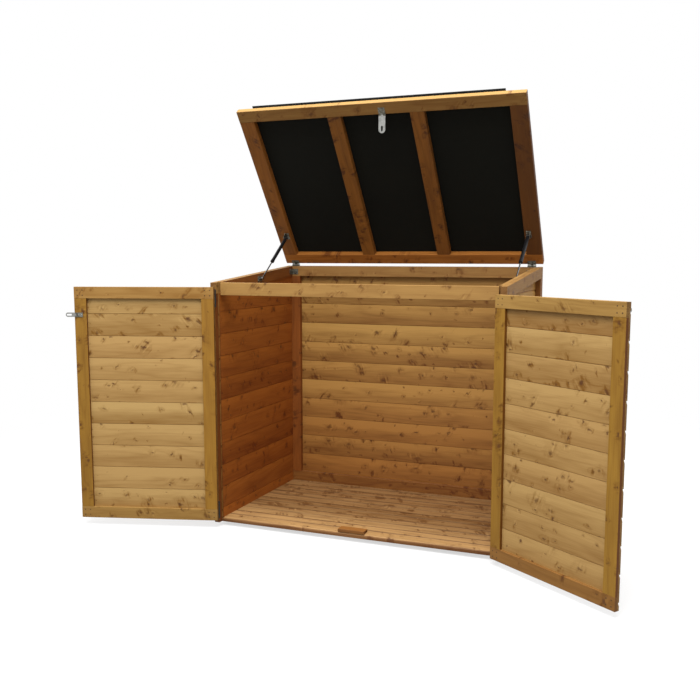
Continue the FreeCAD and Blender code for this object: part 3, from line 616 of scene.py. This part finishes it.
LID_SHADE_RAIL = srgb(114, 70, 22), srgb(64, 34, 5), KNOT
LID_REAR_RAIL = srgb(214, 142, 62), srgb(118, 66, 15), KNOT
print("door boards, pale to deep:", DOOR_BOARD[0][:3], DOOR_BOARD[1][:3])

# %% Back, front and floor
BACK_BOARD_MIDDLE = 0.356
FLOOR_ORIGIN = (0, FLOOR_FRONT, FLOOR_TOP + 0.002)

batten("back_top_rail", "carcass", X, Z, RAIL)
# painted shade: the back wall and its bottom rail darken and redden towards their foot
batten("back_bottom_rail", "carcass", X, Z, WALL_BOARD, damp=0.6)
# painted highlight on the top and bottom faces of the front rail and of the stop block
batten("front_top_rail", "carcass", X, Z, RAIL, edge=-0.5)
batten("door_stop_block", "carcass", X, Z, POST, edge=-0.7, damp=0.15)
for name in ("back_left_post", "back_right_post"):
    batten(name, "carcass", Z, X, BACK_POST)
boarding("back_wall_boards", "carcass", X, WALL_BOARD, (0, BACK_BOARD_MIDDLE, 0), WALL_LAP,
         shading=0.75, damp=0.6)
# painted light paler at the front of the floor (fade), painted shade on the front of its nose (edge)
timber(GROOVED_FLOOR, "carcass", X, Y, FLOOR_BOARD, FLOOR_ORIGIN, board=FLOOR_STEP, lap=0.0,
       streaks=0.9, fade=0.36, edge=0.4)
batten("floor_bearers", "carcass", Y, Z, RAIL)
print("finishes so far:", len(bpy.data.materials))

# %% Walls, doors and lid
POST_MIDDLE, CLEAT_MIDDLE, SIDE_BOARD_MIDDLE, DOOR_BOARD_MIDDLE = 0.5785, 0.5665, 0.574, 0.008
BOARDS_DAMP = {"left": 0.0, "right": 0.06}
RAIL_DAMP = {"left": 0.0, "right": 0.36}
DOOR_TOP_RAIL = {"left": DOOR_RAIL, "right": DOOR_LOW_RAIL}
LID_SIDE_RAIL = {"left": LID_RAIL, "right": LID_SHADE_RAIL}

for side, sign in (("left", -1), ("right", 1)):
    # inside paints shade on the inner faces of posts, cleats and wall boards, as a deep red brown
    for name in ("front_post", "rear_post"):
        batten(f"{side}_{name}", "carcass", Z, Y * sign, POST, (sign * POST_MIDDLE, 0, 0), inside=0.6)
    for name in ("top_rail", "bottom_rail"):
        batten(f"{side}_{name}", "carcass", Y, Z, RAIL)
    batten(f"{side}_cleat", "carcass", Y * -sign, Z, RAIL, (sign * CLEAT_MIDDLE, 0, 0), inside=0.9)
    boarding(f"{side}_wall_boards", "carcass", Y * -sign, SIDE_BOARD, (sign * SIDE_BOARD_MIDDLE, 0, 0),
             WALL_LAP, shading=0.4, inside=0.95)
    door = f"{side}_door"
    boarding(f"{door}_boards", door, -X, DOOR_BOARD, (0, DOOR_BOARD_MIDDLE, 0), DOOR_LAP,
             shading=0.7, damp=BOARDS_DAMP[side])
    batten(f"{door}_top_rail", door, X, Z, DOOR_TOP_RAIL[side])
    batten(f"{door}_bottom_rail", door, X, Z, DOOR_LOW_RAIL, damp=RAIL_DAMP[side])
    batten(f"{door}_hinge_stile", door, Z, X, STILE, edge=0.5)
    batten(f"{door}_free_stile", door, Z, X, STILE, edge=1.0)
    batten(f"lid_{side}_side_rail", "lid", Y, X, LID_SIDE_RAIL[side])
    batten(f"lid_{side}_middle_rail", "lid", Y, X, LID_RAIL)
# painted highlight on the front and back faces of the lid's front rail
batten("lid_front_rail", "lid", X, Y, RAIL, edge=-0.9)
batten("lid_rear_rail", "lid", X, Y, LID_REAR_RAIL)
print("finishes with the timber:", len(bpy.data.materials))

# %% [markdown]
# ## Zinc, black tube, steel rod, deck and felt
#
# The hasp is bright zinc, whose crystals catch the light in flakes; hinges and brackets have gone dull
# and grey, and that dull zinc is darker still as painted shade, for the leaves that lie in shade under
# the lid. The nails show a little rust. Door hinges are black japan, strut bodies black lacquer and
# their rods ground steel. The deck under the felt is a black coated board, and the felt itself carries
# crushed mineral. One plain colour each would look like plastic, so every skin has a fine noise that
# changes its colour, its roughness and its bump together.

# %% A finish from a drawing of its skin
def plain_finish(name, draw, depth, metallic=0.0, gloss=0.5):
    """Finish on object coordinates; draw gives its colour, its roughness and the height of its bump."""
    finish, tree, shader = new_finish(name)
    shader.inputs["Metallic"].default_value = metallic
    shader.inputs["Specular IOR Level"].default_value = gloss
    colour, roughness, height = draw(tree, node(tree, "ShaderNodeTexCoord").outputs["Object"])
    feed(tree, shader.inputs["Base Color"], colour)
    feed(tree, shader.inputs["Roughness"], roughness)
    emboss(tree, shader, height, depth)
    return finish


def mottled(scale, detail, dark, light, smoothest, spread):
    """A drawing of one speckled skin, dark to light and smooth to rough."""
    def draw(tree, place):
        skin = speckle(tree, place, scale, detail)
        return tint(tree, skin, dark, light), plus(tree, smoothest, skin, spread), skin
    return draw


nail_rust = mottled(400.0, 4.0, srgb(52, 44, 38), srgb(98, 74, 52), smoothest=0.45, spread=0.3)
japan_skin = mottled(260.0, 4.0, srgb(18, 17, 16), srgb(44, 41, 37), smoothest=0.35, spread=0.3)
lacquer_dust = mottled(220.0, 5.0, srgb(10, 10, 12), srgb(26, 26, 28), smoothest=0.28, spread=0.25)
print("speckled skins: nail rust, black japan, lacquer dust")

# %% Zinc and steel
FLAKES_PER_METRE = 420.0
GRINDING = (40, 900, 900)


def cells_of(tree, place, scale):
    cells = node(tree, "ShaderNodeTexVoronoi")
    feed_named(tree, cells, Vector=place, Scale=scale)
    return cells


def zinc(tree, place):
    flakes = cells_of(tree, place, FLAKES_PER_METRE)
    flake = parts_of(tree, flakes.outputs["Color"], "Color")[0]
    dull = speckle(tree, place, 90.0, 4.0)
    shade = plus(tree, times(tree, dull, 0.5), flake, 0.35, clamp=True)
    colour = tint(tree, shade, srgb(118, 118, 114), srgb(186, 186, 182))
    return colour, plus(tree, 0.30, dull, 0.3), flake


def old_zinc_and_shade(tree, place):
    """Plate gone dull and grey, blotched where it stays wet; darker as painted shade for shaded leaves.
    """
    blotch = speckle(tree, place, 130.0, 5.0, 0.6)
    colour = tint(tree, soft_step(tree, blotch, 0.35, 0.65), srgb(82, 80, 70), srgb(140, 138, 126))
    return colour, plus(tree, 0.38, blotch, 0.3), blotch


def ground_steel(tree, place):
    drawn_out = node(tree, "ShaderNodeVectorMath", operation="MULTIPLY")
    feed(tree, drawn_out.inputs[0], place)
    drawn_out.inputs[1].default_value = GRINDING
    lines = speckle(tree, drawn_out.outputs[0], detail=3.0)
    colour = tint(tree, lines, srgb(112, 112, 112), srgb(166, 167, 168))
    return colour, plus(tree, 0.12, lines, 0.16), lines


print("metal skins: zinc, old zinc, ground steel")

# %% Deck and felt
GRIT_PER_METRE = 520.0


def coated_board(tree, place):
    flake = speckle(tree, place, 60.0, 6.0, 0.65)
    stain = speckle(tree, place, 4.0, 3.0)
    shade = times(tree, times(tree, flake, stain), 2.0, clamp=True)
    colour = tint(tree, shade, srgb(7, 8, 5), srgb(20, 20, 14))
    return colour, plus(tree, 0.75, flake, 0.2), flake


def mineral_felt(tree, place):
    grit = cells_of(tree, place, GRIT_PER_METRE)
    grain = parts_of(tree, grit.outputs["Color"], "Color")[1]
    patch = speckle(tree, place, 7.0, 4.0)
    shade = times(tree, times(tree, grain, patch), 1.6, clamp=True)
    colour = tint(tree, shade, srgb(17, 18, 18), srgb(78, 80, 80))
    return colour, plus(tree, 0.75, grain, 0.2), grit.outputs["Distance"]


print("roof skins: coated board, mineral felt")

# %% Finishes of the fittings
ZINC = plain_finish("zinc_plate", zinc, depth=0.00008, metallic=1.0)
OLD_ZINC_AND_SHADE = plain_finish("old_zinc_plate", old_zinc_and_shade, depth=0.0001, metallic=0.9)
NAIL_STEEL = plain_finish("nail_steel", nail_rust, depth=0.0001, metallic=0.8)
JAPAN = plain_finish("black_japan", japan_skin, depth=0.00015, metallic=0.2)
LACQUER = plain_finish("black_lacquer", lacquer_dust, depth=0.00005, gloss=0.25)
STEEL = plain_finish("ground_steel", ground_steel, depth=0.00004, metallic=1.0)
DECK = plain_finish("coated_board", coated_board, depth=0.0003, gloss=0.15)
FELT = plain_finish("mineral_felt", mineral_felt, depth=0.0008, gloss=0.2)
for name, piece in frame["nodes"].items():
    if name == "lid_deck":
        wear(piece, DECK)
    elif name == "lid_felt":
        wear(piece, FELT)
    elif name.endswith("strut_tube"):
        wear(piece, LACQUER)
    elif name.endswith("strut_rod"):
        wear(piece, STEEL)
    elif name.endswith(("door_straps", "door_hinge_plates")):
        wear(piece, JAPAN)
    # dull zinc; its darkness is painted shade for the leaves that lie in shade under the lid
    elif any(word in name for word in ("corner_plates", "leaf", "leaves", "brackets")):
        wear(piece, OLD_ZINC_AND_SHADE)
    elif name.endswith(("strap", "staple")):
        wear(piece, ZINC)
print("finishes in all:", len(bpy.data.materials))

# %% [markdown]
# ## Nails and screws
#
# Small heads make a wooden box believable. A nail, a clout and a cross-recessed screw head are turned
# like work on a lathe, then copied to rows of seats. A seat is a point on the drawn piece and the way
# the head looks out, so the same list works for a door drawn shut and shown open. Drawing the heads
# into the wood's colour would be cheaper, but they would cast no shadow.

# %% Turned heads
FOOT = -0.0002
NAIL_PROFILE = [(0.0023, FOOT), (0.0023, 0.0003), (0.0017, 0.0006), (0.0008, 0.0007)]
CLOUT_PROFILE = [(0.005, FOOT), (0.005, 0.0005), (0.0042, 0.0010), (0.0020, 0.0012)]
NAIL_SIDES, CLOUT_SIDES = 10, 14


def turned(profile, sides):
    """Spin a profile of (radius, height) pairs round Z, close its foot and hand back its open rim."""
    made = bmesh.new()
    rings = [[made.verts.new((r * cos(2 * pi * k / sides), r * sin(2 * pi * k / sides), h))
              for k in range(sides)] for r, h in profile]
    for low, high in zip(rings, rings[1:]):
        for k in range(sides):
            made.faces.new((low[k], low[k - 1], high[k - 1], high[k])).normal_flip()
    made.faces.new(rings[0])
    return made, rings[-1]


def kept(made, name):
    bmesh.ops.recalc_face_normals(made, faces=made.faces)
    return as_mesh(made, name)


def domed_head(name, profile, sides):
    made, rim = turned(profile, sides)
    made.faces.new(rim)
    return kept(made, name)


NAIL = domed_head("nail_head", NAIL_PROFILE, NAIL_SIDES)
CLOUT = domed_head("clout_head", CLOUT_PROFILE, CLOUT_SIDES)
print("heads:", {mesh.name: len(mesh.polygons) for mesh in (NAIL, CLOUT)})

# %% Screw head
SCREW_PROFILE = [(0.0037, FOOT), (0.0037, 0.0005), (0.0032, 0.0012), (0.0024, 0.0016)]
SCREW_SIDES = 16
CROSS_ARM, CROSS_HALF, CROSS_TOP, CROSS_FLOOR, CROSS_TAPER = 0.0019, 0.0005, 0.0017, 0.0005, 0.8


def screw_head():
    """Domed head with a cross recess sunk in its crown."""
    made, rim = turned(SCREW_PROFILE, SCREW_SIDES)
    quarter = [(CROSS_ARM, -CROSS_HALF), (CROSS_ARM, CROSS_HALF), (CROSS_HALF, CROSS_HALF)]
    cross = [made.verts.new((x * cos(a) - y * sin(a), x * sin(a) + y * cos(a), CROSS_TOP))
             for a in (0, pi / 2, pi, 3 * pi / 2) for x, y in quarter]
    sunk = [made.verts.new((v.co.x * CROSS_TAPER, v.co.y * CROSS_TAPER, CROSS_FLOOR)) for v in cross]
    edges = [made.edges.get((rim[k - 1], rim[k])) for k in range(len(rim))]
    edges += [made.edges.new((cross[k - 1], cross[k])) for k in range(len(cross))]
    bmesh.ops.triangle_fill(made, use_beauty=True, edges=edges, normal=Z)
    for k in range(len(cross)):
        made.faces.new((cross[k - 1], sunk[k - 1], sunk[k], cross[k])).normal_flip()
    made.faces.new(sunk)
    return kept(made, "screw_head")


SCREW = screw_head()
print("screw head faces:", len(SCREW.polygons))

# %% A row of heads
HEAD_TWIST = 0.8


def fasten(name, body, head, seats, finish=ZINC):
    """Copies of one head on a row of seats, as a piece that rides on a body."""
    made = bmesh.new()
    for count, (spot, out) in enumerate(seats):
        start = len(made.verts)
        made.from_mesh(head)
        made.verts.ensure_lookup_table()
        aim = Vector(out).to_track_quat("Z", "Y").to_matrix().to_4x4()
        seat = DRAWN[body] @ Matrix.Translation(spot) @ aim @ Matrix.Rotation(count * HEAD_TWIST, 4, "Z")
        bmesh.ops.transform(made, matrix=seat, verts=made.verts[start:])
    piece = add_piece(name, made, body)
    piece.data.materials.append(finish)
    for face in piece.data.polygons:
        face.use_smooth = head is not SCREW
    print(f"{name}: {len(seats)} heads")


print("heads can be fastened in rows")

# %% Heads on the doors
DOOR_TOP = 0.990
DOOR_OUTSIDE, DOOR_INSIDE, STRAP_FACE = 0.004, 0.024, 0.002
BOARD_NAIL_X = (0.0265, 0.550)
BOARD_NAIL_Z = [DOOR_LAP + BOARD_COVER * (k + 0.5) for k in range(10)]
FRAME_NAIL_X = (0.016, 0.037, 0.540, 0.561)
FRAME_NAIL_Z = (DOOR_BOTTOM + 0.013, DOOR_BOTTOM + 0.034, DOOR_TOP - 0.034, DOOR_TOP - 0.013)
HINGE_Z = (DOOR_BOTTOM + 0.041, DOOR_TOP - 0.045)
STRAP_SCREW_X = (0.018, 0.075, 0.140, 0.205)
PLATE_X, PLATE_FACE, PLATE_SCREW_STEPS = 0.5895, -0.362, (-0.025, 0.0, 0.025)

for side, sign in (("left", 1), ("right", -1)):
    door = f"{side}_door"
    sag = RIGHT_DOOR_SAG if side == "right" else 0.0
    frame_nails = [((sign * x, DOOR_INSIDE, z), Y) for x in FRAME_NAIL_X for z in FRAME_NAIL_Z]
    board_nails = [((sign * x, DOOR_OUTSIDE, z), -Y) for x in BOARD_NAIL_X for z in BOARD_NAIL_Z]
    strap_screws = [((sign * x, STRAP_FACE, z), -Y) for z in HINGE_Z for x in STRAP_SCREW_X]
    plate_screws = [((-sign * PLATE_X, PLATE_FACE, z + step - sag), -Y)
                    for z in HINGE_Z for step in PLATE_SCREW_STEPS]
    fasten(f"{door}_frame_nails", door, NAIL, frame_nails, NAIL_STEEL)
    fasten(f"{door}_board_nails", door, NAIL, board_nails, NAIL_STEEL)
    fasten(f"{door}_strap_screws", door, SCREW, strap_screws, JAPAN)
    fasten(f"{door}_plate_screws", "carcass", SCREW, plate_screws, JAPAN)

# %% Heads on the catches, the hasp and the struts
CATCH_X, CATCH_FACE, CATCH_Z = (0.545, 0.557), 0.0263, DOOR_TOP - 0.113
STAPLE_X, STAPLE_Z, STAPLE_STEP = (-0.552, -0.535), 0.9626, 0.017
HASP_X, HASP_Y, HASP_FACE = (0.025, 0.041), -0.758, 0.0029
LID_LEAF_X, LID_LEAF_STEP, LID_LEAF_Y, LID_PLATE_FACE = 0.555, 0.011, -0.0165, 0.0025
STRUT_HEAD_X, STRUT_HEAD_Y = 0.5485, (-0.173, -0.151)
CLEAT_FACE, STRUT_FOOT_Y, STRUT_FOOT_Z, STRUT_FOOT_STEP = 0.564, -0.0145, 1.013, 0.006

catch_screws = [((x, CATCH_FACE, CATCH_Z), Y) for x in CATCH_X]
fasten("left_door_catch_screws", "left_door", SCREW, catch_screws)
staple_screws = [((x, STRAP_FACE, STAPLE_Z + step), -Y)
                 for x in STAPLE_X for step in (-STAPLE_STEP, STAPLE_STEP)]
fasten("right_door_staple_screws", "right_door", SCREW, staple_screws)
hasp_screws = [((x, HASP_Y, HASP_FACE), -Z) for x in HASP_X]
fasten("lid_hasp_screws", "lid", SCREW, hasp_screws, OLD_ZINC_AND_SHADE)
lid_leaf_screws = [((x + step, LID_LEAF_Y, LID_PLATE_FACE), -Z)
                   for x in (-LID_LEAF_X, LID_LEAF_X) for step in (-LID_LEAF_STEP, LID_LEAF_STEP)]
fasten("lid_hinge_screws", "lid", SCREW, lid_leaf_screws, OLD_ZINC_AND_SHADE)
strut_head_screws = [((x, y, LID_PLATE_FACE), -Z)
                     for x in (-STRUT_HEAD_X, STRUT_HEAD_X) for y in STRUT_HEAD_Y]
fasten("strut_head_screws", "lid", SCREW, strut_head_screws, OLD_ZINC_AND_SHADE)
strut_foot_screws = [((sign * CLEAT_FACE, STRUT_FOOT_Y, STRUT_FOOT_Z + step), X * -sign)
                     for sign in (-1, 1) for step in (-STRUT_FOOT_STEP, STRUT_FOOT_STEP)]
fasten("strut_foot_screws", "carcass", SCREW, strut_foot_screws, OLD_ZINC_AND_SHADE)

# %% Heads on the back wall and the felt
BACK_NAIL_X, BACK_OUTSIDE = 0.555, 0.360
BACK_NAIL_Z = [WALL_LAP + BOARD_COVER * (k + 0.5) for k in range(11)]
CORNER_Z, CORNER_SIDE_Y, CORNER_BACK_X, CORNER_BACK_FACE = 1.0395, 0.313, 0.549, 0.328
FELT_TOP = 0.0415
FELT_LONG_X, FELT_LONG_Y = [x / 100 for x in range(-53, 54, 10)], (-0.780, -0.002)
FELT_SHORT_X, FELT_SHORT_Y = (-0.530, 0.510), [-0.07 - 0.09 * k for k in range(8)]

wall_nails = [((x, BACK_OUTSIDE, z), Y) for x in (-BACK_NAIL_X, BACK_NAIL_X) for z in BACK_NAIL_Z]
fasten("back_wall_nails", "carcass", NAIL, wall_nails, NAIL_STEEL)
corner_screws = []
for sign in (-1, 1):
    corner_screws += [((sign * CLEAT_FACE, CORNER_SIDE_Y, CORNER_Z), X * -sign),
                      ((sign * CORNER_BACK_X, CORNER_BACK_FACE, CORNER_Z), -Y)]
fasten("corner_plate_screws", "carcass", SCREW, corner_screws, OLD_ZINC_AND_SHADE)
felt_nails = [((x, y, FELT_TOP), Z) for x in FELT_LONG_X for y in FELT_LONG_Y]
felt_nails += [((x, y, FELT_TOP), Z) for x in FELT_SHORT_X for y in FELT_SHORT_Y]
fasten("felt_clout_nails", "lid", CLOUT, felt_nails)

# %% [markdown]
# ## Studio
#
# A pale floor catches the shadow and a white world stands behind it. Rays that come from the camera or
# from a mirror see plain white; all others see soft light at a plain level, so a colour in the render
# is about the colour that was written down. A stronger lamp would whiten the floor too, but it would
# bleach the wood.

# %% What a ray sees
def seen_directly(tree):
    """1 for rays from the camera, from mirrors and through glass, 0 for rays that only carry light."""
    path = node(tree, "ShaderNodeLightPath").outputs
    return largest(tree, path["Is Camera Ray"], path["Is Glossy Ray"], path["Is Transmission Ray"])


def show_mix(tree, amount, first, second, output):
    """Show a mix of two shaders on the tree's output."""
    both = node(tree, "ShaderNodeMixShader")
    for socket, value in zip(both.inputs, (amount, first, second)):
        feed(tree, socket, value)
    feed(tree, tree.nodes[output].inputs["Surface"], both.outputs[0])


print("rays can be told apart")

# %% Floor
FLOOR_REACH, FLOOR_SQUARES, JUST_BELOW = 9, 8, 0.001
SHADOW_NEAR, SHADOW_GONE, NEAR_GLOW = 1.2, 3.0, 0.62


def studio_floor():
    made = bmesh.new()
    bmesh.ops.create_grid(made, x_segments=FLOOR_SQUARES, y_segments=FLOOR_SQUARES, size=FLOOR_REACH)
    floor = set_out("studio_floor", as_mesh(made, "studio_floor"))
    floor.location.z = cad_box[0].z - JUST_BELOW
    finish, tree, shader = new_finish("studio_floor")
    floor.data.materials.append(finish)
    shader.inputs["Roughness"].default_value = 0.9
    seen = seen_directly(tree)
    feed(tree, shader.inputs["Base Color"], tint(tree, seen, srgb(84, 80, 72), srgb(245, 245, 245)))
    distance = node(tree, "ShaderNodeVectorMath", operation="LENGTH")
    feed(tree, distance.inputs[0], node(tree, "ShaderNodeTexCoord").outputs["Object"])
    fade = soft_step(tree, distance.outputs["Value"], SHADOW_NEAR, SHADOW_GONE, NEAR_GLOW, 1.0)
    glow = node(tree, "ShaderNodeEmission")
    show_mix(tree, times(tree, seen, fade), shader.outputs[0], glow.outputs[0], "Material Output")
    return floor


print("floor at height:", studio_floor().location.z)

# %% World and lamp
SKY_LOW, SKY_HIGH, SKY_STRENGTH = (0.30, 0.30, 0.30, 1.0), (0.98, 0.99, 1.0, 1.0), 1.6
WHITE = (1, 1, 1, 1)
LAMP_AT, LAMP_TARGET, LAMP_SIZE, LAMP_WATTS = (0.3, -2.4, 4.6), (0, -0.3, 0.4), 2.6, 210


def studio_world():
    world = bpy.data.worlds.new("studio")
    bpy.context.scene.world = world
    world.use_nodes = True
    tree = world.node_tree
    light = tree.nodes["Background"]
    upward = parts_of(tree, node(tree, "ShaderNodeTexCoord").outputs["Generated"])[2]
    sky = tint(tree, soft_step(tree, upward, 0.0, 1.0), SKY_LOW, SKY_HIGH)
    feed_named(tree, light, Color=sky, Strength=SKY_STRENGTH)
    white = node(tree, "ShaderNodeBackground")
    white.inputs["Color"].default_value = WHITE
    show_mix(tree, seen_directly(tree), light.outputs[0], white.outputs[0], "World Output")


def aimed(direction):
    return direction.to_track_quat("-Z", "Y").to_euler()


def softbox(name, place, target, size, watts):
    lamp = bpy.data.lights.new(name, "AREA")
    lamp.energy, lamp.size = watts, size
    stand = set_out(name, lamp)
    stand.location = place
    stand.rotation_euler = aimed(Vector(target) - Vector(place))


studio_world()
softbox("high_softbox", LAMP_AT, LAMP_TARGET, LAMP_SIZE, LAMP_WATTS)
print("lamp watts:", LAMP_WATTS)

# %% [markdown]
# ## Camera
#
# The camera stands to the right of the box at chest height and looks a little down. Its place and lens
# come from fitting the box's corners to where they lie in the photograph, which is surer than moving
# the camera by eye.

# %% Camera
CAMERA_AT = (1.2413, -3.4243, 1.1181)
CAMERA_TURN, CAMERA_DOWN = radians(-22.09), radians(7.32)
SENSOR_WIDTH, LENS, SHIFT_X, SHIFT_Y = 36.0, 45.03, 0.0027, 0.0246

camera = set_out("camera", bpy.data.cameras.new("camera"))
camera.location = CAMERA_AT
camera.rotation_euler = aimed(Vector((sin(CAMERA_TURN) * cos(CAMERA_DOWN),
                                      cos(CAMERA_TURN) * cos(CAMERA_DOWN), -sin(CAMERA_DOWN))))
camera.data.sensor_width, camera.data.lens = SENSOR_WIDTH, LENS
camera.data.shift_x, camera.data.shift_y = SHIFT_X, SHIFT_Y
bpy.context.scene.camera = camera
bpy.context.scene.view_settings.view_transform = "Standard"
print("camera at", CAMERA_AT)
